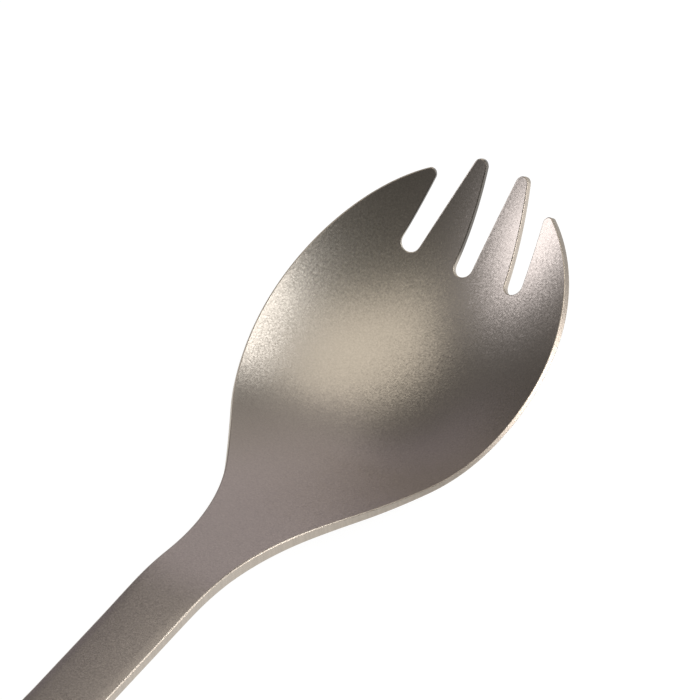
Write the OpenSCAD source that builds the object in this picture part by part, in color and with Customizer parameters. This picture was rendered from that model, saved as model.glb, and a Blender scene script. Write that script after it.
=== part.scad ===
// A camping spork pressed from one sheet of titanium, cut into its named regions.
// Lengths are laid out with the rim of the bowl level: x runs across, y towards the
// tines from the widest line of the bowl, and z up. The whole spork is then tipped
// until the bottom of the bowl and the end of the handle both lie on z = 0.

/* [Bowl] */
// Width of the bowl across its rim
bowl_w = 38; // [36:0.5:42]
// Distance from the widest line forward to the tip of the rim ellipse
front_l = 26.5; // [25:0.1:30]
// Length of the rear rim ellipse
back_l = 27.5; // [25:0.5:31]
// Depth of the bowl below its rim
bowl_d = 6; // [5:0.1:8]
// Rise of the rim from the widest line to the tine tips
tip_rise = 2.6; // [1:0.1:3.5]
// Thickness of the sheet at the rim of the bowl
rim_t = 0.6; // [0.5:0.05:1.1]
// Thickness of the sheet at the bottom of the bowl
floor_t = 1.1; // [0.8:0.05:1.5]

/* [Tines] */
// Width of each slot between the tines
slot_w = 2.5; // [2:0.1:3.2]
// Distance from the tip of the rim ellipse back to the round ends of the slots
slot_l = 11.9; // [9:0.1:13]
// Distance of the side slots from the middle, at their round ends
slot_x = 7.7; // [7:0.1:8.5]
// Lean of the side slots towards the middle
slot_lean = 10; // [6:0.5:13]
// Distance of the middle tips from the middle
mid_tip_x = 3.1; // [2.5:0.05:3.3]
// Radius of the middle tips
mid_tip_r = 0.9; // [0.6:0.05:1.1]
// Distance from the tip of the rim ellipse back to the centres of the middle tips
mid_tip_back = 0.65; // [0:0.05:1.5]
// Radius of the side tips
side_tip_r = 0.7; // [0.4:0.05:0.9]
// Distance from the tip of the rim ellipse back to where the side tips leave it
side_tip_back = 3.3; // [2.8:0.1:4]
// Swell of each side of the middle tines
tine_bow = 0.2; // [0:0.02:0.3]
// Thickness of the tines
tine_t = 0.95; // [0.6:0.05:1.2]

/* [Neck] */
// Slope of the straight flanks, seen from above
flank_angle = 30; // [26:0.5:33]
// Radius of the hollow curve from each flank to the handle, seen from above
neck_r = 40; // [34:1:50]
// Distance from the widest line back to where the rim starts to lift
lift_gap = 8; // [6:0.5:12]
// Radius of the lift, seen from the side
lift_r = 43; // [34:1:46]
// Slope of the neck, seen from the side
neck_slope = 31.5; // [26:0.5:33]

/* [Handle] */
// Width of the handle where it meets the neck
handle_w = 8.85; // [8:0.05:11]
// Thickness of the handle
handle_t = 1.8; // [1.4:0.05:2.2]
// Radius of the bend behind the neck
bend_r = 36; // [25:1:60]
// Slope of the straight stretch behind the bend
shaft_slope = 19.2; // [17:0.1:22]
// Length of the straight stretch behind the bend
shaft_l = 22; // [15:1:35]
// Radius of the arch from the straight stretch to the end plate
arch_r = 110; // [90:1:140]
// Slope of the end plate
end_slope = 2; // [0:0.5:5]
// Length of the flat end plate
end_l = 27; // [22:1:35]
// Width of the round end of the handle
end_w = 12; // [11:0.2:15]
// Diameter of the hanging hole
hole_d = 5; // [3:0.1:6.5]

/* [Hidden] */

// Titanium after bead blasting
sheet_colour = [0.55, 0.525, 0.49];

// Steps of the sheet's grid
root_steps = 4;
arc_steps = 6;
bowl_steps = 26;
neck_steps = 12;
tine_steps = 8;
tip_steps = 4;
bend_steps = 24;

// How round the bottom of the bowl is: 2 is a paraboloid, more is flatter in the middle
floor_power_share = 2.05;
// Half of the small flat left in front of each tip, as a turn about the tip's centre
tip_flat_turn = 10;
// Distance between the points that give a slope
probe = 0.01;
// Smoothness of round edges
$fn = 96;

half_w = bowl_w / 2;
handle_half = handle_w / 2;
slot_r = slot_w / 2;
slot_y = front_l - slot_l;
end_r = end_w / 2;
// How far cutting and crossing solids run past what they cut
overrun = handle_t;

// Where the rear ellipse turns into the straight flank
flank_turn = back_l / half_w * tan(flank_angle);
flank_y = -back_l * flank_turn / sqrt(1 + flank_turn * flank_turn);
flank_half = half_w / sqrt(1 + flank_turn * flank_turn);
// Where the flank turns into the hollow curve: the bowl ends and the neck starts
neck_half = handle_half + neck_r * (1 - cos(flank_angle));
neck_y = flank_y - (flank_half - neck_half) / tan(flank_angle);
// Where the hollow curve reaches the handle
handle_y = neck_y - neck_r * sin(flank_angle);

function mix(a, b, share) = a + (b - a) * share;
function ease(share) = share <= 0 ? 0 : share >= 1 ? 1 : share * share * (3 - 2 * share);
function polar(centre, radius, turn) = centre + radius * [cos(turn), sin(turn)];
function mirrored(points) = [for (i = [len(points) - 1 : -1 : 0]) [-points[i].x, points[i].y]];

// Half of the spork's width at y
function half_width(y) =
    y >= 0 ? half_w * sqrt(max(0, 1 - pow(y / front_l, 2)))
    : y > flank_y ? half_w * sqrt(1 - pow(y / back_l, 2))
    : y > neck_y ? flank_half + (y - flank_y) * tan(flank_angle)
    : handle_half + neck_r - sqrt(neck_r * neck_r - pow(max(y, handle_y) - handle_y, 2));

// Height of the rim at y, up to the end of the neck
lift_y = -lift_gap - lift_r * sin(neck_slope);
function rim_z(y) =
    y >= 0 ? tip_rise * pow(y / front_l, 2)
    : y > -lift_gap ? 0
    : y > lift_y ? lift_r - sqrt(lift_r * lift_r - pow(y + lift_gap, 2))
    : lift_r * (1 - cos(neck_slope)) + (lift_y - y) * tan(neck_slope);

// Square of the distance from the middle of the hollow, 0 at its bottom and 1 at its rim
function hollow(x, y) =
    y >= 0 ? pow(x / half_w, 2) + pow(y / front_l, 2)
    : let (along = 1 - pow((half_width(y) - handle_half) / (half_w - handle_half), 2))
      mix(along, 1, pow(x / half_width(y), 2));

// Height of the upper face
function top_z(x, y) = rim_z(y) - bowl_d * (1 - pow(hollow(x, y), floor_power_share / 2));

// Thickness of the sheet, measured square to its upper face
function sheet_t(x, y) =
    mix(mix(floor_t, mix(rim_t, tine_t, ease(y / slot_y)), min(1, hollow(x, y))),
        handle_t,
        ease((y + lift_gap) / (handle_y + lift_gap)));

// Upward normal of the upper face
function upward(x, y) =
    let (across = (top_z(x + probe, y) - top_z(x - probe, y)) / (2 * probe),
         forward = (top_z(x, y + probe) - top_z(x, y - probe)) / (2 * probe),
         way = [-across, -forward, 1])
    way / norm(way);

// Point of the upper face, and of the under face square below it
function upper_point(p) = [p.x, p.y, top_z(p.x, p.y)];
function lower_point(p) = upper_point(p) - sheet_t(p.x, p.y) * upward(p.x, p.y);

// Front edge of the bowl, from the left rim to the middle, in plan
left_slot = [-slot_x, slot_y];
mid_slot = [0, slot_y];
rim_corner = [-half_width(slot_y), slot_y];
left_slot_start = polar(left_slot, slot_r, 180 - slot_lean);
left_slot_end = polar(left_slot, slot_r, -slot_lean);
mid_slot_start = polar(mid_slot, slot_r, 180);
root_1 = [for (i = [0 : root_steps]) mix(rim_corner, left_slot_start, i / root_steps)];
root_2 = [for (i = [0 : root_steps]) mix(left_slot_end, mid_slot_start, i / root_steps)];
left_slot_arc = [for (i = [1 : arc_steps - 1])
    polar(left_slot, slot_r, 180 - slot_lean + 180 * i / arc_steps)];
mid_slot_arc = [for (i = [1 : arc_steps / 2]) polar(mid_slot, slot_r, 180 + 180 * i / arc_steps)];
front_left = concat(root_1, left_slot_arc, root_2, mid_slot_arc);
front_middle = len(front_left) - 1;
front_edge = concat(front_left, [for (p = mirrored(front_left)) if (p.x > 0) p]);

// Each column of the bowl and neck keeps its share of the half width
column_shares = [for (p = front_edge) p.x / half_width(p.y)];
bowl_plan = [for (j = [0 : bowl_steps])
    [for (i = [0 : len(front_edge) - 1])
        let (y = mix(neck_y, front_edge[i].y, j / bowl_steps))
        [column_shares[i] * half_width(y), y]]];
neck_plan = [for (j = [0 : neck_steps])
    let (y = mix(handle_y, neck_y, j / neck_steps))
    [for (share = column_shares) [share * half_width(y), y]]];

// Turn about a tip's centre at which a straight side from root meets the round tip
function tip_turn(root, centre, radius, side) =
    let (way = centre - root)
    atan2(way.y, way.x) + side * (90 + asin(radius / norm(way)));

// Rows of the round tip between the turns at which its two sides arrive
function tip_rows(centre, radius, left_turn, right_turn) =
    [for (j = [1 : tip_steps])
        let (share = j / tip_steps,
             left = polar(centre, radius, mix(left_turn, 90 + tip_flat_turn, share)),
             right = polar(centre, radius, mix(right_turn, 90 - tip_flat_turn, share)))
        [for (i = [0 : root_steps]) mix(left, right, i / root_steps)]];

// The left outer tine follows the rim ellipse on its left side
side_tip_y = front_l - side_tip_back;
side_touch = [-half_width(side_tip_y), side_tip_y];
side_touch_turn = atan2(side_touch.y / pow(front_l, 2), side_touch.x / pow(half_w, 2));
side_tip = polar(side_touch, -side_tip_r, side_touch_turn);
side_tip_turn = tip_turn(left_slot_start, side_tip, side_tip_r, -1);
side_tip_inner = polar(side_tip, side_tip_r, side_tip_turn);
side_tine_plan = concat(
    [for (j = [0 : tine_steps])
        let (share = j / tine_steps,
             y = mix(slot_y, side_touch.y, share),
             outer = [-half_width(y), y],
             inner = mix(left_slot_start, side_tip_inner, share))
        [for (i = [0 : root_steps]) mix(outer, inner, i / root_steps)]],
    tip_rows(side_tip, side_tip_r, side_touch_turn, side_tip_turn));

// Both sides of the left inner tine swell a little
mid_tip = [-mid_tip_x, front_l - mid_tip_back];
mid_tip_left_turn = tip_turn(left_slot_end, mid_tip, mid_tip_r, 1);
mid_tip_right_turn = tip_turn(mid_slot_start, mid_tip, mid_tip_r, -1);
mid_tine_plan = concat(
    [for (j = [0 : tine_steps])
        let (share = j / tine_steps,
             swell = [-4 * tine_bow * share * (1 - share), 0],
             left = mix(left_slot_end, polar(mid_tip, mid_tip_r, mid_tip_left_turn), share) + swell,
             right = mix(mid_slot_start, polar(mid_tip, mid_tip_r, mid_tip_right_turn), share) - swell)
        [for (i = [0 : root_steps]) mix(left, right, i / root_steps)]],
    tip_rows(mid_tip, mid_tip_r, mid_tip_left_turn, mid_tip_right_turn));

// Upper and lower points over a plan
function upper(plan) = [for (row = plan) for (p = row) upper_point(p)];
function lower(plan) = [for (row = plan) for (p = row) lower_point(p)];

// Side profile of the handle: y and z of its upper face, from the neck to the end plate
function along(start, slope, distance) = start + distance * [-cos(slope), sin(slope)];
function down(point, slope, depth) = point - depth * [sin(slope), cos(slope)];
function arc_end(start, radius, from_slope, to_slope) =
    down(start, from_slope, radius) - down([0, 0], to_slope, radius);
handle_start = [handle_y, rim_z(handle_y)];
bend_end = arc_end(handle_start, bend_r, neck_slope, shaft_slope);
shaft_end = along(bend_end, shaft_slope, shaft_l);
arch_end = arc_end(shaft_end, arch_r, shaft_slope, end_slope);
plate_end = along(arch_end, end_slope, end_l);
hole_place = along(plate_end, end_slope, -end_r);

// Face of the handle at a depth below its upper face
function handle_line(depth) = concat(
    [for (i = [0 : bend_steps])
        let (slope = mix(neck_slope, shaft_slope, i / bend_steps))
        down(arc_end(handle_start, bend_r, neck_slope, slope), slope, depth)],
    [for (i = [0 : bend_steps])
        let (slope = mix(shaft_slope, end_slope, i / bend_steps))
        down(arc_end(shaft_end, arch_r, shaft_slope, slope), slope, depth)],
    [down(along(plate_end, end_slope, overrun), end_slope, depth)]);
handle_under = handle_line(handle_t);
handle_profile = concat(
    handle_line(0),
    [for (i = [len(handle_under) - 1 : -1 : 0]) handle_under[i]]);

// Tip the spork about x until the bowl and the end of the handle both touch down
heel = plate_end - [0, handle_t / cos(end_slope)];
keel = [for (row = bowl_plan)
    let (p = lower_point(row[front_middle]))
    [p.y, p.z]];
rest_tilt = max([for (p = keel) atan2(heel.y - p.y, p.x - heel.x)]);
function tipped_y(y, z) = y * cos(rest_tilt) - z * sin(rest_tilt);
function tipped_z(y, z) = y * sin(rest_tilt) + z * cos(rest_tilt);
tips_y = max([for (p = lower(mid_tine_plan)) tipped_y(p.y, p.z)]);
rear_y = tipped_y(plate_end.x, plate_end.y);

module at_rest() {
    translate([0, -(tips_y + rear_y) / 2, -tipped_z(heel.x, heel.y)])
        rotate([rest_tilt, 0, 0])
            children();
}

// A closed piece of sheet between the upper and lower points over a plan
module sheet(plan) {
    rows = len(plan);
    columns = len(plan[0]);
    count = rows * columns;
    function at(j, i) = j * columns + i;
    function facing(a, b, c, d) = [[a, d, c], [a, c, b]];
    top_faces = [for (j = [0 : rows - 2]) for (i = [0 : columns - 2])
        each facing(at(j, i), at(j, i + 1), at(j + 1, i + 1), at(j + 1, i))];
    under_faces = [for (face = top_faces) [face[2] + count, face[1] + count, face[0] + count]];
    left_faces = [for (j = [0 : rows - 2])
        each facing(at(j, 0), at(j + 1, 0), at(j + 1, 0) + count, at(j, 0) + count)];
    right_faces = [for (j = [0 : rows - 2])
        each facing(at(j + 1, columns - 1), at(j, columns - 1),
                    at(j, columns - 1) + count, at(j + 1, columns - 1) + count)];
    rear_faces = [for (i = [0 : columns - 2])
        each facing(at(0, i + 1), at(0, i), at(0, i) + count, at(0, i + 1) + count)];
    front_faces = [for (i = [0 : columns - 2])
        each facing(at(rows - 1, i), at(rows - 1, i + 1),
                    at(rows - 1, i + 1) + count, at(rows - 1, i) + count)];
    at_rest()
        polyhedron(
            points = concat(upper(plan), lower(plan)),
            faces = concat(top_faces, under_faces, left_faces, right_faces,
                           rear_faces, front_faces));
}

module bowl() {
    color(sheet_colour)
        sheet(bowl_plan);
}

module tine_1() {
    color(sheet_colour)
        sheet(side_tine_plan);
}

module tine_2() {
    color(sheet_colour)
        sheet(mid_tine_plan);
}

module tine_3() {
    mirror([1, 0, 0])
        tine_2();
}

module tine_4() {
    mirror([1, 0, 0])
        tine_1();
}

module neck() {
    color(sheet_colour)
        sheet(neck_plan);
}

// Handle outline in plan: parallel along the shaft, then widening to the round end
module handle_outline() {
    end_centre = [0, plate_end.x + end_r];
    side_turn = tip_turn([handle_half, shaft_end.x], end_centre, end_r, 1);
    side_touch = polar(end_centre, end_r, side_turn);
    front_y = handle_y + overrun;
    union() {
        polygon([
            [-handle_half, front_y], [-handle_half, shaft_end.x],
            [-side_touch.x, side_touch.y], [side_touch.x, side_touch.y],
            [handle_half, shaft_end.x], [handle_half, front_y]]);
        translate(end_centre)
            circle(r = end_r);
    }
}

module handle() {
    color(sheet_colour)
        at_rest()
            difference() {
                intersection() {
                    rotate([90, 0, 90])
                        linear_extrude(height = 2 * end_w, center = true)
                            polygon(handle_profile);
                    linear_extrude(height = plate_end.y + overrun)
                        handle_outline();
                }
                translate([0, hole_place.x, hole_place.y])
                    rotate([-end_slope, 0, 0])
                        cylinder(d = hole_d, h = 2 * (handle_t + overrun), center = true);
            }
}

bowl();
tine_1();
tine_2();
tine_3();
tine_4();
neck();
handle();
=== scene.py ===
from functools import cache
from math import asin, atan2, cos, hypot, pi, radians, sin, sqrt, tan

import bmesh
import bpy
import numpy as np
from mathutils import Matrix, Quaternion, Vector


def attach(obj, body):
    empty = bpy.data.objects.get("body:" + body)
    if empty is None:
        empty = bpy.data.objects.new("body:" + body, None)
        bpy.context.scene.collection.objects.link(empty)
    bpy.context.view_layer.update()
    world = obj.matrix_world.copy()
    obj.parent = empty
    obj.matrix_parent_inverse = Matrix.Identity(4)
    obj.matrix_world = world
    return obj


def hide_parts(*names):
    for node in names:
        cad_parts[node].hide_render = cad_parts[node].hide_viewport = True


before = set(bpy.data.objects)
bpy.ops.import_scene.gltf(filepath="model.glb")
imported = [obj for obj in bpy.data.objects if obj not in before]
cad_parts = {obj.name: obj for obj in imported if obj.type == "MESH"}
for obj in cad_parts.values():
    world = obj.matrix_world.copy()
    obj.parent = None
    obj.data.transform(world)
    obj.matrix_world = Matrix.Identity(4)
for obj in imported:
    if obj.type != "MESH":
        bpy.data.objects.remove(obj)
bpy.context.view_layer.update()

MM = 0.001

# Sizes of the spork in millimetres, the same as the solids' own.
BOWL_W = 38.0
FRONT_L = 26.5
BACK_L = 27.5
BOWL_D = 6.0
TIP_RISE = 2.6
RIM_T = 0.6
TINE_T = 0.95
FLOOR_T = 1.1
FLOOR_POWER = 2.05
SLOT_W = 2.5
SLOT_L = 11.9
SLOT_X = 7.7
SLOT_LEAN = radians(10)
MID_TIP_X = 3.1
MID_TIP_R = 0.9
MID_TIP_BACK = 0.65
SIDE_TIP_R = 0.7
SIDE_TIP_BACK = 3.3
TINE_BOW = 0.2
FLANK_ANGLE = radians(30)
NECK_R = 40.0
LIFT_GAP = 8.0
LIFT_R = 43.0
NECK_SLOPE = radians(31.5)
HANDLE_W = 8.85
HANDLE_T = 1.8
BEND_R = 36.0
SHAFT_SLOPE = radians(19.2)
SHAFT_L = 22.0
ARCH_R = 110.0
END_SLOPE = radians(2)
END_L = 27.0
END_W = 12.0
HOLE_D = 5.0

# How far a bend of the side profile runs out on each side, and the samples it is averaged over.
BEND_RUN = 4.0
BEND_SAMPLES = 8
# Crown of the handle, how deep and wide its edges roll down, and how far both take to set in.
HANDLE_CROWN = 0.15
ROLL_DEPTH = 0.14
ROLL_WIDTH = 1.4
CROWN_RUN = 15.0

# Radius of the tumbled edges as a share of the thickness, and how far in the grid gives way.
EDGE_SHARE = 0.14
EDGE_ROOM = 0.62
EDGE_RINGS = 4
# Length over which the painted shade on the walls of the left slots darkens them towards the tips.
SHADE_RUN = 2.0

# Steps of the blank's grid, and the gap under which its grids share their points.
ROOT_STEPS = 8
ARC_STEPS = 12
BOWL_STEPS = 64
NECK_STEPS = 36
TINE_STEPS = 20
TIP_STEPS = 8
HANDLE_STEPS = 96
EYE_STEPS = 8
EYE_SIDE_STEPS = 12
EYE_END_STEPS = 40
SHARED_GAP = 1e-4
# How far the last row of a round tip stays clear of its foremost point, on each side.
TIP_FLAT_TURN = radians(10)
# Distance from a point to those that give its slope.
PROBE = 0.01

HALF_W = BOWL_W / 2
HANDLE_HALF = HANDLE_W / 2
SLOT_R = SLOT_W / 2
SLOT_Y = FRONT_L - SLOT_L
END_R = END_W / 2


# The plan of the spork: the rim lies level, x runs across and y towards the tines.

FLANK_TURN = BACK_L / HALF_W * tan(FLANK_ANGLE)
FLANK_Y = -BACK_L * FLANK_TURN / sqrt(1 + FLANK_TURN ** 2)
FLANK_HALF = HALF_W / sqrt(1 + FLANK_TURN ** 2)
NECK_HALF = HANDLE_HALF + NECK_R * (1 - cos(FLANK_ANGLE))
NECK_Y = FLANK_Y - (FLANK_HALF - NECK_HALF) / tan(FLANK_ANGLE)
HANDLE_Y = NECK_Y - NECK_R * sin(FLANK_ANGLE)
LIFT_Y = -LIFT_GAP - LIFT_R * sin(NECK_SLOPE)


def mix(a, b, share):
    """The value that lies a share of the way from a to b."""
    return a + (b - a) * share


def ease(share):
    """A share from 0 to 1 that starts and ends gently."""
    share = min(max(share, 0.0), 1.0)
    return share * share * (3 - 2 * share)


def polar(centre, radius, turn):
    """Plan point at a radius and a turn about a centre."""
    return np.array([centre[0] + radius * cos(turn), centre[1] + radius * sin(turn)])


def half_width(y):
    """Half of the spork's width at y, from the tines back to the neck's end."""
    if y >= 0:
        return HALF_W * sqrt(max(0.0, 1 - (y / FRONT_L) ** 2))
    if y > FLANK_Y:
        return HALF_W * sqrt(1 - (y / BACK_L) ** 2)
    if y > NECK_Y:
        return FLANK_HALF + (y - FLANK_Y) * tan(FLANK_ANGLE)
    return HANDLE_HALF + NECK_R - sqrt(NECK_R ** 2 - (max(y, HANDLE_Y) - HANDLE_Y) ** 2)


def arc_step(start, radius, from_slope, to_slope):
    """End of a convex arc of the handle's side profile, as (y, z)."""
    return (start[0] - radius * (sin(from_slope) - sin(to_slope)),
            start[1] + radius * (cos(to_slope) - cos(from_slope)))


def rim_z(y):
    """Height of the rim at y, and of the handle's upper face behind the neck."""
    if y >= 0:
        return TIP_RISE * (y / FRONT_L) ** 2
    if y > -LIFT_GAP:
        return 0.0
    if y > LIFT_Y:
        return LIFT_R - sqrt(LIFT_R ** 2 - (y + LIFT_GAP) ** 2)
    if y > HANDLE_Y:
        return LIFT_R * (1 - cos(NECK_SLOPE)) + (LIFT_Y - y) * tan(NECK_SLOPE)
    if y > BEND_END[0]:
        slope = asin(sin(NECK_SLOPE) - (HANDLE_Y - y) / BEND_R)
        return arc_step(HANDLE_START, BEND_R, NECK_SLOPE, slope)[1]
    if y > SHAFT_END[0]:
        return BEND_END[1] + (BEND_END[0] - y) * tan(SHAFT_SLOPE)
    if y > ARCH_END[0]:
        slope = asin(sin(SHAFT_SLOPE) - (SHAFT_END[0] - y) / ARCH_R)
        return arc_step(SHAFT_END, ARCH_R, SHAFT_SLOPE, slope)[1]
    return ARCH_END[1] + (ARCH_END[0] - y) * tan(END_SLOPE)


@cache
def soft_rim_z(y):
    """The rim's height with its bends run out, as springy sheet takes them."""
    steps = range(-BEND_SAMPLES, BEND_SAMPLES + 1)
    shares = [1 - abs(k) / (BEND_SAMPLES + 1) for k in steps]
    heights = [rim_z(y + BEND_RUN * k / BEND_SAMPLES) for k in steps]
    return sum(h * w for h, w in zip(heights, shares)) / sum(shares)


HANDLE_START = (HANDLE_Y, LIFT_R * (1 - cos(NECK_SLOPE)) + (LIFT_Y - HANDLE_Y) * tan(NECK_SLOPE))
BEND_END = arc_step(HANDLE_START, BEND_R, NECK_SLOPE, SHAFT_SLOPE)
SHAFT_END = (BEND_END[0] - SHAFT_L * cos(SHAFT_SLOPE), BEND_END[1] + SHAFT_L * sin(SHAFT_SLOPE))
ARCH_END = arc_step(SHAFT_END, ARCH_R, SHAFT_SLOPE, END_SLOPE)
PLATE_END = (ARCH_END[0] - END_L * cos(END_SLOPE), ARCH_END[1] + END_L * sin(END_SLOPE))
EYE = np.array([0.0, PLATE_END[0] + END_R])


def hollow(x, y):
    """Square of the distance from the middle of the hollow: 0 there and 1 at the rim."""
    if y >= 0:
        return (x / HALF_W) ** 2 + (y / FRONT_L) ** 2
    across = half_width(y)
    along = 1 - ((across - HANDLE_HALF) / (HALF_W - HANDLE_HALF)) ** 2
    return mix(along, 1, (x / across) ** 2)


def pressed_z(x, y):
    """Height of the upper face as pressed, without the handle's crown and rolled edges."""
    if y > HANDLE_Y:
        return soft_rim_z(y) - BOWL_D * (1 - hollow(x, y) ** (FLOOR_POWER / 2))
    return soft_rim_z(y)


def edge_gap(x, y):
    """Distance of a point of the handle from its outline, in plan."""
    if y < SIDE_TOUCH[1]:
        return END_R - hypot(x, y - EYE[1])
    return handle_half(y) - abs(x)


def top_z(x, y):
    """Height of the upper face, with the handle's crown and rolled edges."""
    if y > HANDLE_Y:
        return pressed_z(x, y)
    crown = HANDLE_CROWN * (x / HANDLE_HALF) ** 2
    roll = ROLL_DEPTH * max(0.0, 1 - edge_gap(x, y) / ROLL_WIDTH) ** 2
    return pressed_z(x, y) - (crown + roll) * ease((HANDLE_Y - y) / CROWN_RUN)


def sheet_t(x, y):
    """Thickness of the sheet as pressed, square to its upper face."""
    if y < HANDLE_Y:
        return HANDLE_T
    rim_t = mix(RIM_T, TINE_T, ease(y / SLOT_Y))
    bowl_t = mix(FLOOR_T, rim_t, min(1.0, hollow(x, y)))
    return mix(bowl_t, HANDLE_T, ease((y + LIFT_GAP) / (HANDLE_Y + LIFT_GAP)))


def edge_r(x, y):
    """Radius of the rounded edges at a point of the outline."""
    return EDGE_SHARE * sheet_t(x, y)


def upward(height, x, y):
    """Upward normal of the surface with a given height, top_z or pressed_z."""
    across = (height(x + PROBE, y) - height(x - PROBE, y)) / (2 * PROBE)
    along = (height(x, y + PROBE) - height(x, y - PROBE)) / (2 * PROBE)
    way = np.array([-across, -along, 1.0])
    return way / sqrt(way @ way)


def face_point(x, y, depth):
    """Point at a depth under the upper face; crown and rolls fade out on the way down."""
    pressed = pressed_z(x, y)
    sag = (pressed - top_z(x, y)) * (1 - depth / sheet_t(x, y))
    return np.array([x, y, pressed - sag]) - depth * upward(pressed_z, x, y)


def edge_normal(x, y, out, turn):
    """Normal of the upper edge's rounding, turned from the face (0) to the wall (a right angle)."""
    up = upward(top_z if turn < pi / 2 else pressed_z, x, y)
    level = np.array([out[0], out[1], -(out @ up[:2]) / up[2]])
    return cos(turn) * up + sin(turn) * level / sqrt(level @ level)


# The flat blank: grids of plan points that share their borders.

def line(start, end, steps):
    """Evenly spaced points from start to end."""
    return [mix(start, end, i / steps) for i in range(steps + 1)]


def mirrored(rows):
    """The same rows on the other side of the middle."""
    return [[np.array([-p[0], p[1]]) for p in row] for row in rows]


def tip_turn(root, centre, radius, side):
    """Turn about a tip's centre at which a straight side from root meets the round tip."""
    way = centre - root
    return atan2(way[1], way[0]) + side * (pi / 2 + asin(radius / hypot(*way)))


def tip_rows(centre, radius, left_turn, right_turn):
    """Rows that fill a round tip, between two points that climb its sides."""
    rows = []
    for j in range(1, TIP_STEPS + 1):
        left = polar(centre, radius, mix(left_turn, pi / 2 + TIP_FLAT_TURN, j / TIP_STEPS))
        right = polar(centre, radius, mix(right_turn, pi / 2 - TIP_FLAT_TURN, j / TIP_STEPS))
        rows.append(line(left, right, ROOT_STEPS))
    return rows


LEFT_SLOT = np.array([-SLOT_X, SLOT_Y])
MID_SLOT = np.array([0.0, SLOT_Y])
RIM_CORNER = np.array([-half_width(SLOT_Y), SLOT_Y])
LEFT_SLOT_START = polar(LEFT_SLOT, SLOT_R, pi - SLOT_LEAN)
LEFT_SLOT_END = polar(LEFT_SLOT, SLOT_R, -SLOT_LEAN)
MID_SLOT_START = polar(MID_SLOT, SLOT_R, pi)


def front_edge():
    """Front edge of the bowl: tine roots and round slot ends, from left to right."""
    left = line(RIM_CORNER, LEFT_SLOT_START, ROOT_STEPS)
    left += [polar(LEFT_SLOT, SLOT_R, pi - SLOT_LEAN + pi * i / ARC_STEPS)
             for i in range(1, ARC_STEPS)]
    left += line(LEFT_SLOT_END, MID_SLOT_START, ROOT_STEPS)
    left += [polar(MID_SLOT, SLOT_R, pi + pi * i / ARC_STEPS) for i in range(1, ARC_STEPS // 2)]
    middle = [polar(MID_SLOT, SLOT_R, 1.5 * pi)]
    return left + middle + mirrored([left])[0][::-1]


def side_tine():
    """The left outer tine, whose left side follows the rim."""
    touch_y = FRONT_L - SIDE_TIP_BACK
    touch = np.array([-half_width(touch_y), touch_y])
    touch_turn = atan2(touch[1] / FRONT_L ** 2, touch[0] / HALF_W ** 2)
    tip = polar(touch, -SIDE_TIP_R, touch_turn)
    inner_turn = tip_turn(LEFT_SLOT_START, tip, SIDE_TIP_R, -1)
    inner_end = polar(tip, SIDE_TIP_R, inner_turn)
    rows = []
    for j in range(TINE_STEPS + 1):
        share = j / TINE_STEPS
        y = mix(SLOT_Y, touch_y, share)
        outer = np.array([-half_width(y), y])
        rows.append(line(outer, mix(LEFT_SLOT_START, inner_end, share), ROOT_STEPS))
    return rows + tip_rows(tip, SIDE_TIP_R, touch_turn, inner_turn)


def mid_tine():
    """The left inner tine, whose sides swell a little."""
    tip = np.array([-MID_TIP_X, FRONT_L - MID_TIP_BACK])
    left_turn = tip_turn(LEFT_SLOT_END, tip, MID_TIP_R, 1)
    right_turn = tip_turn(MID_SLOT_START, tip, MID_TIP_R, -1)
    left_end = polar(tip, MID_TIP_R, left_turn)
    right_end = polar(tip, MID_TIP_R, right_turn)
    rows = []
    for j in range(TINE_STEPS + 1):
        share = j / TINE_STEPS
        swell = np.array([-4 * TINE_BOW * share * (1 - share), 0.0])
        left = mix(LEFT_SLOT_END, left_end, share) + swell
        right = mix(MID_SLOT_START, right_end, share) - swell
        rows.append(line(left, right, ROOT_STEPS))
    return rows + tip_rows(tip, MID_TIP_R, left_turn, right_turn)


def handle_half(y):
    """Half of the handle's width at y: parallel, then widening to the round end."""
    if y >= SHAFT_END[0]:
        return HANDLE_HALF
    share = (SHAFT_END[0] - y) / (SHAFT_END[0] - SIDE_TOUCH[1])
    return mix(HANDLE_HALF, SIDE_TOUCH[0], min(share, 1.0))


SIDE_TOUCH = polar(EYE, END_R, tip_turn(np.array([HANDLE_HALF, SHAFT_END[0]]), EYE, END_R, 1))
EYE_FRONT_Y = EYE[1] + END_R + HOLE_D / 2


def eye_rows(shares):
    """Rings round the hanging hole, out to the handle's outline and to its last row."""
    right_side = line(np.array([handle_half(EYE_FRONT_Y), EYE_FRONT_Y]), SIDE_TOUCH, EYE_SIDE_STEPS)
    start = atan2(SIDE_TOUCH[1] - EYE[1], SIDE_TOUCH[0])
    half_turn = pi / 2 + start
    end = [polar(EYE, END_R, start - half_turn * i / (EYE_END_STEPS // 2))
           for i in range(1, EYE_END_STEPS // 2 + 1)]
    right = right_side + end
    left = mirrored([right[:-1]])[0][::-1]
    front = [np.array([s * handle_half(EYE_FRONT_Y), EYE_FRONT_Y]) for s in shares[1:-1]]
    outer = right + left + front
    outer.append(outer[0])
    rows = []
    for j in range(EYE_STEPS + 1):
        row = []
        for p in outer:
            way = p - EYE
            rim = EYE + way * (HOLE_D / 2 / hypot(*way))
            row.append(mix(p, rim, j / EYE_STEPS))
        rows.append(row)
    return rows


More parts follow.
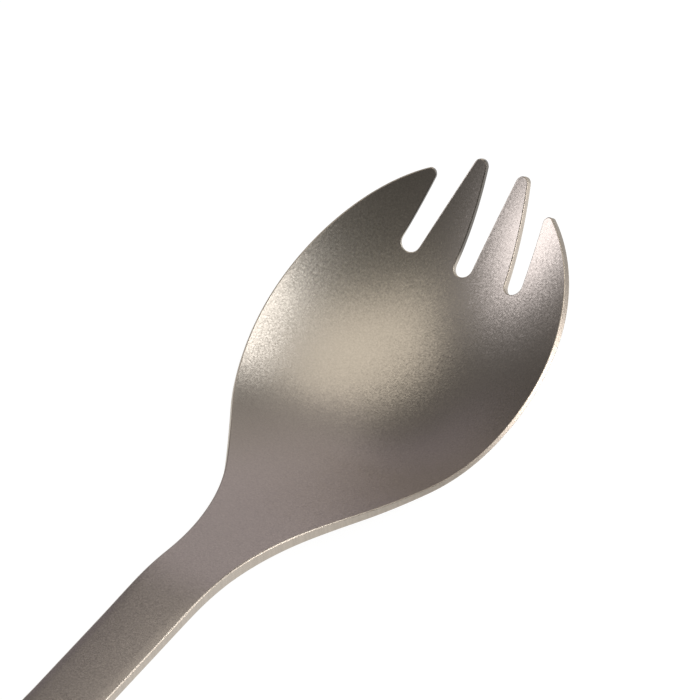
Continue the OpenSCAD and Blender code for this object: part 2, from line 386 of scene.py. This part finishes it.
def blank_grids():
    """Grids of plan points for the bowl, neck, handle, its round end and the four tines."""
    edge = front_edge()
    shares = [p[0] / half_width(p[1]) for p in edge]
    bowl = []
    for j in range(BOWL_STEPS + 1):
        row = []
        for p, share in zip(edge, shares):
            y = mix(NECK_Y, p[1], j / BOWL_STEPS)
            row.append(np.array([share * half_width(y), y]))
        bowl.append(row)
    neck = []
    for j in range(NECK_STEPS + 1):
        y = mix(HANDLE_Y, NECK_Y, j / NECK_STEPS)
        neck.append([np.array([share * half_width(y), y]) for share in shares])
    handle = []
    for j in range(HANDLE_STEPS + 1):
        y = mix(EYE_FRONT_Y, HANDLE_Y, j / HANDLE_STEPS)
        handle.append([np.array([share * handle_half(y), y]) for share in shares])
    tines = [side_tine(), mid_tine()]
    return [bowl, neck, handle, eye_rows(shares)] + tines + [mirrored(t) for t in tines]


def cut_blank():
    """The flat blank as plan points, faces wound upwards, and its border edges in order."""
    bm = bmesh.new()
    for rows in blank_grids():
        verts = [[bm.verts.new((p[0], p[1], 0.0)) for p in row] for row in rows]
        for a, b in zip(verts, verts[1:]):
            for i in range(len(a) - 1):
                bm.faces.new((a[i], a[i + 1], b[i + 1], b[i]))
    bmesh.ops.remove_doubles(bm, verts=bm.verts, dist=SHARED_GAP)
    for face in bm.faces:
        face.normal_update()
        if face.normal.z < 0:
            face.normal_flip()
    bm.verts.index_update()
    points = np.array([v.co[:2] for v in bm.verts])
    faces = [[v.index for v in face.verts] for face in bm.faces]
    border = []
    for edge in bm.edges:
        if edge.is_boundary:
            loop = edge.link_loops[0]
            border.append((loop.vert.index, loop.link_loop_next.vert.index))
    bm.free()
    return points, faces, border


def border_normals(points, border):
    """Outward normal at each border point, from its two border edges."""
    normals = {}
    for a, b in border:
        way = points[b] - points[a]
        out = np.array([way[1], -way[0]]) / hypot(*way)
        for i in (a, b):
            normals[i] = normals.get(i, np.zeros(2)) + out
    return {i: n / hypot(*n) for i, n in normals.items()}


def make_edge_room(points, border, normals):
    """Draw the grid in from the outline, so that the rounded edge fits round it."""
    starts = points[[a for a, _ in border]]
    ways = points[[b for _, b in border]] - starts
    lengths = (ways ** 2).sum(1)
    moved = points.copy()
    for i, p in enumerate(points):
        if i in normals:
            moved[i] = p - edge_r(*p) * normals[i]
            continue
        shares = np.clip(((p - starts) * ways).sum(1) / lengths, 0, 1)
        gaps = p - (starts + ways * shares[:, None])
        nearest = (gaps ** 2).sum(1).argmin()
        gap = hypot(*gaps[nearest])
        if gap < EDGE_ROOM:
            moved[i] = p + gaps[nearest] / gap * edge_r(*p) * (1 - gap / EDGE_ROOM)
    return moved


def slot_shade(p, out):
    """How dark a wall is: the left tines' right walls lie in the shade of the next tine."""
    return ease((p[1] - SLOT_Y) / SHADE_RUN) if p[0] < 0 < out[0] else 0.0


def press_blank():
    """Press the blank: both faces and the rounded wall between them, with their normals."""
    points, faces, border = cut_blank()
    normals = border_normals(points, border)
    inner = make_edge_room(points, border, normals)
    verts = [face_point(x, y, 0.0) for x, y in inner]
    verts += [face_point(x, y, sheet_t(x, y)) for x, y in inner]
    facing = [upward(top_z, x, y) for x, y in inner]
    facing += [-upward(pressed_z, x, y) for x, y in inner]
    count = len(inner)
    edge_share = [0.0] * (2 * count)
    shade = [0.0] * (2 * count)
    rings = {}
    for i, out in normals.items():
        ring = [i]
        radius = edge_r(*points[i])
        for k in range(1, 2 * EDGE_RINGS + 1):
            upper = k <= EDGE_RINGS
            turn = pi / 2 * (k if upper else 2 * EDGE_RINGS + 1 - k) / EDGE_RINGS
            x, y = points[i] - out * radius * (1 - sin(turn))
            drop = radius * (1 - cos(turn))
            ring.append(len(verts))
            verts.append(face_point(x, y, drop if upper else sheet_t(x, y) - drop))
            facing.append(edge_normal(x, y, out, turn if upper else pi - turn))
            edge_share.append(sin(turn))
            shade.append(slot_shade(points[i], out))
        ring.append(i + count)
        rings[i] = ring
    all_faces = [list(f) for f in faces]
    all_faces += [[i + count for i in reversed(f)] for f in faces]
    for a, b in border:
        for k in range(2 * EDGE_RINGS + 1):
            all_faces.append([rings[a][k], rings[a][k + 1], rings[b][k + 1], rings[b][k]])
    return verts, all_faces, facing, {"edge_share": edge_share, "shade": shade}


def lie_at_rest():
    """Tip the spork until the bowl and the handle's end touch down, centred on its box."""
    heel = (PLATE_END[0], PLATE_END[1] - HANDLE_T / cos(END_SLOPE))
    keel = []
    for j in range(BOWL_STEPS + 1):
        y = mix(NECK_Y, SLOT_Y - SLOT_R, j / BOWL_STEPS)
        keel.append(face_point(0.0, y, sheet_t(0.0, y))[1:])
    tilt = max(atan2(heel[1] - z, y - heel[0]) for y, z in keel)
    tip_y = FRONT_L - MID_TIP_BACK + MID_TIP_R * cos(TIP_FLAT_TURN)
    tip = face_point(MID_TIP_X, tip_y, sheet_t(MID_TIP_X, tip_y))
    front = tip[1] * cos(tilt) - tip[2] * sin(tilt)
    rear = PLATE_END[0] * cos(tilt) - PLATE_END[1] * sin(tilt)
    drop = heel[0] * sin(tilt) + heel[1] * cos(tilt)
    shift = Vector((0, -(front + rear) / 2, -drop))
    return Matrix.Translation(shift) @ Matrix.Rotation(tilt, 4, "X")


REST = lie_at_rest()


def make_spork():
    """The spork as one closed mesh in its place, with exact normals and its edge values."""
    verts, faces, facing, shares = press_blank()
    mesh = bpy.data.meshes.new("spork")
    mesh.from_pydata(verts, [], faces)
    mesh.transform(Matrix.Scale(MM, 4) @ REST)
    for name, values in shares.items():
        mesh.attributes.new(name, "FLOAT", "POINT").data.foreach_set("value", values)
    mesh.polygons.foreach_set("use_smooth", [True] * len(mesh.polygons))
    turn = REST.to_3x3()
    mesh.normals_split_custom_set_from_vertices([turn @ Vector(way) for way in facing])
    mesh.update()
    spork = bpy.data.objects.new("spork", mesh)
    bpy.context.collection.objects.link(spork)
    return spork


# Material: blasted titanium, with a smoother wall where the sheet was cut, and painted shade on the
# left slots' walls.

FACE_COLOUR = (0.44, 0.405, 0.36)
WALL_COLOUR = (0.48, 0.43, 0.37)
FACE_ROUGHNESS = 0.36
WALL_ROUGHNESS = 0.42
# Grain: dimples per metre, how far they tilt the normal, and how much they vary the tone.
DIMPLES = 4000
DIMPLE_DETAIL = 2.0
DIMPLE_ROUGHNESS = 0.75
GRAIN_TILT = 0.24
GRAIN_SPECKLE = 0.5
# Edge share at which the rounded edge looks all wall, and how much of a shaded wall's light goes.
WALL_SHARE = 0.7
SHADE_DEPTH = 0.7
# Streaks across the wall: how many per metre, how long they are drawn and how deep.
STREAKS = 2500
STREAK_STRETCH = 0.06
STREAK_DETAIL = 1.5
STREAK_ROUGHNESS = 0.5
STREAK_DEPTH = 0.3


def new_group(name, inputs, outputs):
    """An empty shader node group with named sockets; each input is (name, kind, default)."""
    group = bpy.data.node_groups.new(name, "ShaderNodeTree")
    for label, kind, default in inputs:
        socket = group.interface.new_socket(label, in_out="INPUT", socket_type=kind)
        if default is not None:
            socket.default_value = default
    for label, kind in outputs:
        group.interface.new_socket(label, in_out="OUTPUT", socket_type=kind)
    start = group.nodes.new("NodeGroupInput")
    end = group.nodes.new("NodeGroupOutput")
    return group, start, end


def add_math(group, operation, first, second):
    """A math node on two values, each a socket or a number; returns its output."""
    node = group.nodes.new("ShaderNodeMath")
    node.operation = operation
    for slot, value in zip(node.inputs, (first, second)):
        if isinstance(value, (int, float)):
            slot.default_value = value
        else:
            group.links.new(value, slot)
    return node.outputs["Value"]


def add_vector_math(group, operation, first, second=None):
    """A vector math node on one or two values, each a socket or numbers; returns its output."""
    node = group.nodes.new("ShaderNodeVectorMath")
    node.operation = operation
    for slot, value in zip(node.inputs, (first, second)):
        if isinstance(value, tuple):
            slot.default_value = value
        elif value is not None:
            group.links.new(value, slot)
    return node.outputs["Vector"]


def add_scaled(group, vector, scale):
    """A vector, given as a socket or numbers, times the value of a socket."""
    scaled = add_vector_math(group, "SCALE", vector)
    group.links.new(scale, scaled.node.inputs["Scale"])
    return scaled


def add_noise(group, place, scale, detail, roughness):
    """A noise texture read at a place, with its scale from a socket; returns the node."""
    node = group.nodes.new("ShaderNodeTexNoise")
    node.inputs["Detail"].default_value = detail
    node.inputs["Roughness"].default_value = roughness
    group.links.new(place, node.inputs["Vector"])
    group.links.new(scale, node.inputs["Scale"])
    return node


def blasted_grain_group():
    """Dimples left by bead blasting: a scattered normal and a faint speckle of tone."""
    group, start, end = new_group(
        "blasted_grain",
        [("Place", "NodeSocketVector", None), ("Dimples per Metre", "NodeSocketFloat", DIMPLES),
         ("Tilt", "NodeSocketFloat", GRAIN_TILT), ("Speckle", "NodeSocketFloat", GRAIN_SPECKLE),
         ("Smooth", "NodeSocketFloat", 0.0)],
        [("Normal", "NodeSocketVector"), ("Tone", "NodeSocketFloat")])
    dimples = add_noise(group, start.outputs["Place"], start.outputs["Dimples per Metre"],
                        DIMPLE_DETAIL, DIMPLE_ROUGHNESS)
    centred = add_vector_math(group, "SUBTRACT", dimples.outputs["Color"], (0.5, 0.5, 0.5))
    kept = add_math(group, "SUBTRACT", 1.0, start.outputs["Smooth"])
    tilts = add_scaled(group, centred, add_math(group, "MULTIPLY", start.outputs["Tilt"], kept))
    face = group.nodes.new("ShaderNodeNewGeometry")
    leaning = add_vector_math(group, "ADD", face.outputs["Normal"], tilts)
    group.links.new(add_vector_math(group, "NORMALIZE", leaning), end.inputs["Normal"])
    swing = add_math(group, "SUBTRACT", dimples.outputs["Fac"], 0.5)
    tone = add_math(group, "MULTIPLY", swing, start.outputs["Speckle"])
    group.links.new(add_math(group, "ADD", tone, 1.0), end.inputs["Tone"])
    return group


def cut_edge_group():
    """Stamped wall of the sheet: where it is, its streaks across the thickness, and the painted
    shade on the left slots' walls.
    """
    group, start, end = new_group(
        "cut_edge",
        [("Place", "NodeSocketVector", None), ("Edge Share", "NodeSocketFloat", 0.0),
         ("Shade", "NodeSocketFloat", 0.0), ("Shade Depth", "NodeSocketFloat", SHADE_DEPTH),
         ("Streaks per Metre", "NodeSocketFloat", STREAKS),
         ("Streak Depth", "NodeSocketFloat", STREAK_DEPTH)],
        [("Mask", "NodeSocketFloat"), ("Tone", "NodeSocketFloat")])
    ramp = group.nodes.new("ShaderNodeMapRange")
    ramp.interpolation_type = "SMOOTHSTEP"
    ramp.inputs["From Max"].default_value = WALL_SHARE
    group.links.new(start.outputs["Edge Share"], ramp.inputs["Value"])
    group.links.new(ramp.outputs["Result"], end.inputs["Mask"])
    squeeze = group.nodes.new("ShaderNodeMapping")
    squeeze.vector_type = "POINT"
    squeeze.inputs["Scale"].default_value = (1, 1, STREAK_STRETCH)
    group.links.new(start.outputs["Place"], squeeze.inputs["Vector"])
    streaks = add_noise(group, squeeze.outputs["Vector"], start.outputs["Streaks per Metre"],
                        STREAK_DETAIL, STREAK_ROUGHNESS)
    centred = add_math(group, "SUBTRACT", streaks.outputs["Fac"], 0.5)
    swing = add_math(group, "MULTIPLY", centred, start.outputs["Streak Depth"])
    # Painted shade: the walls marked by Shade are darkened in their colour.
    dark = add_math(group, "MULTIPLY", start.outputs["Shade"], start.outputs["Shade Depth"])
    light = add_math(group, "SUBTRACT", 1.0, dark)
    streaked = add_math(group, "ADD", swing, 1.0)
    group.links.new(add_math(group, "MULTIPLY", streaked, light), end.inputs["Tone"])
    return group


def titanium():
    """Material of the whole sheet, read from its place and its edge values."""
    material = bpy.data.materials.new("blasted_titanium")
    material.use_nodes = True
    tree = material.node_tree
    nodes = tree.nodes
    links = tree.links
    shader = nodes["Principled BSDF"]
    shader.inputs["Metallic"].default_value = 1.0
    coords = nodes.new("ShaderNodeTexCoord")
    grain = nodes.new("ShaderNodeGroup")
    grain.node_tree = blasted_grain_group()
    edge = nodes.new("ShaderNodeGroup")
    edge.node_tree = cut_edge_group()
    links.new(coords.outputs["Object"], grain.inputs["Place"])
    links.new(coords.outputs["Object"], edge.inputs["Place"])
    for name, label in (("edge_share", "Edge Share"), ("shade", "Shade")):
        share = nodes.new("ShaderNodeAttribute")
        share.attribute_name = name
        links.new(share.outputs["Fac"], edge.inputs[label])
    links.new(edge.outputs["Mask"], grain.inputs["Smooth"])
    colour = nodes.new("ShaderNodeMix")
    colour.data_type = "RGBA"
    links.new(edge.outputs["Mask"], colour.inputs["Factor"])
    links.new(add_scaled(tree, FACE_COLOUR, grain.outputs["Tone"]), colour.inputs["A"])
    links.new(add_scaled(tree, WALL_COLOUR, edge.outputs["Tone"]), colour.inputs["B"])
    links.new(colour.outputs["Result"], shader.inputs["Base Color"])
    rough = nodes.new("ShaderNodeMapRange")
    rough.inputs["To Min"].default_value = FACE_ROUGHNESS
    rough.inputs["To Max"].default_value = WALL_ROUGHNESS
    links.new(edge.outputs["Mask"], rough.inputs["Value"])
    links.new(rough.outputs["Result"], shader.inputs["Roughness"])
    links.new(grain.outputs["Normal"], shader.inputs["Normal"])
    return material


# Camera, light and floor, in metres, watts and, for the picture, pixels.

VIEW_AZIMUTH = radians(32.71)
VIEW_ELEVATION = radians(44.26)
VIEW_ROLL = radians(-0.76)
VIEW_DISTANCE = 1.5
VIEW_REACH = 10
SENSOR_MM = 36
PICTURE = 700
PIXELS_PER_MM = 7.86
# How far the picture's middle lies left of and below the middle of the widest line, in mm.
AIM_LEFT = 6.53
AIM_DOWN = 0.99


def aim_camera():
    """Set the camera where the photo's was, against the spork as it lies at rest."""
    out = Vector((sin(VIEW_AZIMUTH) * cos(VIEW_ELEVATION), -cos(VIEW_AZIMUTH) * cos(VIEW_ELEVATION),
                  sin(VIEW_ELEVATION)))
    turn = out.to_track_quat("Z", "Y") @ Quaternion((0, 0, 1), VIEW_ROLL)
    aim = REST @ Vector((0, 0, 0)) - turn @ Vector((AIM_LEFT, AIM_DOWN, 0))
    camera_data = bpy.data.cameras.new("camera")
    camera_data.sensor_width = SENSOR_MM
    camera_data.lens = SENSOR_MM * PIXELS_PER_MM / MM * VIEW_DISTANCE / PICTURE
    camera = bpy.data.objects.new("camera", camera_data)
    camera.location = aim * MM + out * VIEW_DISTANCE
    camera.rotation_euler = turn.to_euler()
    camera_data.clip_end = VIEW_REACH
    bpy.context.collection.objects.link(camera)
    bpy.context.scene.camera = camera


# Softboxes: azimuth, elevation, distance, width, height, power and colour.
SOFTBOXES = {
    "key": (29, 43, 1.0, 0.65, 0.4, 4.45, (1.0, 0.995, 0.995)),
    "low_key": (26, 7, 1.0, 0.5, 0.15, 3.5, (1.0, 0.945, 0.935)),
    "side": (214, 26, 1.0, 0.48, 0.5, 3.25, (0.965, 0.935, 1.0)),
    "overhead": (123, 84, 1.0, 0.86, 0.66, 2.57, (1.0, 0.935, 0.825)),
    "back": (104, 36, 1.0, 0.53, 1.2, 0.85, (1.0, 0.92, 0.92)),
    "low_back": (130, 21, 1.0, 1.0, 0.5, 0.48, (0.93, 0.8, 1.0)),
}
# Point that the softboxes face: the middle of the bowl's place.
LIT_POINT = Vector((0, 0.05, 0))
ROOM_COLOUR = (1, 0.96, 0.89, 1)
ROOM_LEVEL = 0.08


def light_studio():
    """Hang the softboxes, and light the room round them faintly."""
    for name, (azimuth, elevation, distance, width, height, power, colour) in SOFTBOXES.items():
        lamp = bpy.data.lights.new(name, "AREA")
        lamp.shape = "RECTANGLE"
        lamp.size = width
        lamp.size_y = height
        lamp.energy = power
        lamp.color = colour
        softbox = bpy.data.objects.new(name, lamp)
        flat = cos(radians(elevation))
        out = Vector((cos(radians(azimuth)) * flat, sin(radians(azimuth)) * flat,
                      sin(radians(elevation))))
        softbox.location = LIT_POINT + out * distance
        softbox.rotation_euler = out.to_track_quat("Z", "Y").to_euler()
        bpy.context.collection.objects.link(softbox)
    world = bpy.data.worlds.new("room")
    world.use_nodes = True
    background = world.node_tree.nodes["Background"]
    background.inputs["Color"].default_value = ROOM_COLOUR
    background.inputs["Strength"].default_value = ROOM_LEVEL
    bpy.context.scene.world = world


FLOOR_REACH = 3.0
FLOOR_COLOUR = (0.12, 0.12, 0.12, 1)
FLOOR_ROUGHNESS = 0.9
FLOOR_GLOW = 0.95


def lay_floor():
    """White floor: bright to the eye and in the metal, with the spork's faint shadow."""
    mesh = bpy.data.meshes.new("floor")
    far = FLOOR_REACH
    corners = [(-far, -far, 0), (far, -far, 0), (far, far, 0), (-far, far, 0)]
    mesh.from_pydata(corners, [], [(0, 1, 2, 3)])
    floor = bpy.data.objects.new("floor", mesh)
    bpy.context.collection.objects.link(floor)
    material = bpy.data.materials.new("white_floor")
    material.use_nodes = True
    tree = material.node_tree
    shader = tree.nodes["Principled BSDF"]
    shader.inputs["Base Color"].default_value = FLOOR_COLOUR
    shader.inputs["Roughness"].default_value = FLOOR_ROUGHNESS
    shader.inputs["Specular IOR Level"].default_value = 0.0
    shader.inputs["Emission Color"].default_value = (1, 1, 1, 1)
    rays = tree.nodes.new("ShaderNodeLightPath")
    seen = add_math(tree, "ADD", rays.outputs["Is Camera Ray"], rays.outputs["Is Glossy Ray"])
    seen = add_math(tree, "ADD", seen, rays.outputs["Is Transmission Ray"])
    glow = add_math(tree, "MULTIPLY", seen, FLOOR_GLOW)
    tree.links.new(glow, shader.inputs["Emission Strength"])
    mesh.materials.append(material)


bpy.context.scene.view_settings.view_transform = "Standard"
aim_camera()
spork = make_spork()
spork.data.materials.append(titanium())
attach(spork, "root")
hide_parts("bowl", "tine_1", "tine_2", "tine_3", "tine_4", "neck", "handle")
light_studio()
lay_floor()
